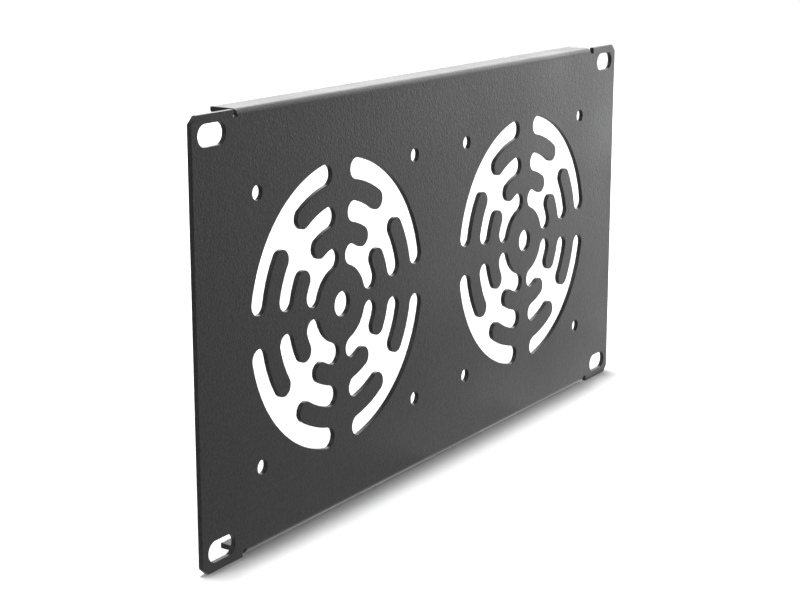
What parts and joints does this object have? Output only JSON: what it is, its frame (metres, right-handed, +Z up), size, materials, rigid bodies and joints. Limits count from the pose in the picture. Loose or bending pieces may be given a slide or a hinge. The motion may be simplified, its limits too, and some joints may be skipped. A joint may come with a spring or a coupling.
{
  "type": "rack fan panel",
  "caption": "Folded sheet-steel rack panel with slotted ears, top and bottom flanges and round finger guards cut in front of its fan positions.",
  "frame": {"origin": "middle of the footprint, at the foot of the panel", "axes": "+X along the panel's width, front face towards -Y, flanges folded back towards +Y, +Z up"},
  "size_m": [0.254, 0.01, 0.1325],
  "materials": {
    "powder_coat": "fine-textured matt black powder coat"
  },
  "bodies": {
    "root": {"fan_panel": "powder_coat"}
  },
  "joints": []
}
